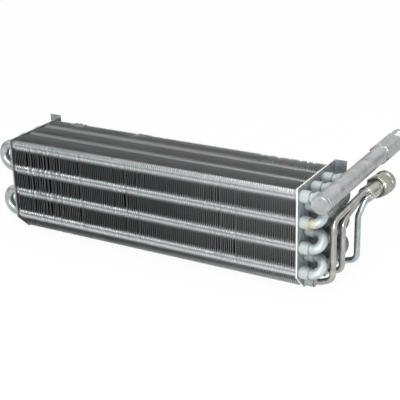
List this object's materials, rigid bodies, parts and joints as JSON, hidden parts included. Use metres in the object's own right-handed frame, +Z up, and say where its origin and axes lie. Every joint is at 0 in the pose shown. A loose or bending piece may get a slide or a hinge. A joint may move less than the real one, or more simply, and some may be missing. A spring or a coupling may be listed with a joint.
{
  "type": "evaporator core",
  "caption": "Finned evaporator core with folded fins on hairpin tubes, two end plates, return bends, a threaded suction manifold and a three-way liquid distributor.",
  "frame": {"origin": "under the middle of the bounding box, on the plane that the end plates stand on", "axes": "+X along the tubes towards the connections, +Y from the front face to the rear flanges, +Z up"},
  "size_m": [0.3975, 0.2074, 0.1076],
  "materials": {
    "fin_sheet": "mill-finish rolled sheet",
    "plate_sheet": "dull grey sheet with bright cut edges",
    "core_tube": "drawn tube, satin",
    "fluxed_tube": "matte with whitish flux bloom",
    "solder": "matte solder fillet",
    "manifold_tube": "satin drawn tube with cloudy heat marks",
    "feed_tube": "warm grey drawn tube",
    "fitting_metal": "turned, satin",
    "nut_metal": "dull plated, greenish grey"
  },
  "bodies": {
    "root": {"fins_far_left": "fin_sheet", "fins_mid_left": "fin_sheet", "fins_mid_right": "fin_sheet", "fins_far_right": "fin_sheet", "end_plate_left": "plate_sheet", "end_plate_right": "plate_sheet", "hairpin_1a_upper": "core_tube", "hairpin_1a_lower": "core_tube", "hairpin_1b_upper": "core_tube", "hairpin_1b_lower": "core_tube", "hairpin_2a_upper": "core_tube", "hairpin_2a_lower": "core_tube", "hairpin_2b_upper": "core_tube", "hairpin_2b_lower": "core_tube", "hairpin_3a_upper": "core_tube", "hairpin_3a_lower": "core_tube", "hairpin_3b_upper": "core_tube", "hairpin_3b_lower": "core_tube", "return_bend_1_top": "fluxed_tube", "return_bend_1_middle": "fluxed_tube", "return_bend_1_bottom": "fluxed_tube", "return_bend_2_top": "fluxed_tube", "return_bend_2_middle": "fluxed_tube", "return_bend_2_bottom": "fluxed_tube", "return_bend_3_top": "fluxed_tube", "return_bend_3_middle": "fluxed_tube", "return_bend_3_bottom": "fluxed_tube", "solder_rings": "solder", "suction_manifold": "manifold_tube", "manifold_cap": "manifold_tube", "suction_branch_1": "fluxed_tube", "suction_branch_2": "fluxed_tube", "suction_branch_3": "fluxed_tube", "suction_fitting": "fitting_metal", "feed_tube_1": "feed_tube", "feed_tube_2": "feed_tube", "feed_tube_3": "feed_tube", "distributor": "fitting_metal", "inlet_nut": "nut_metal"}
  },
  "joints": []
}
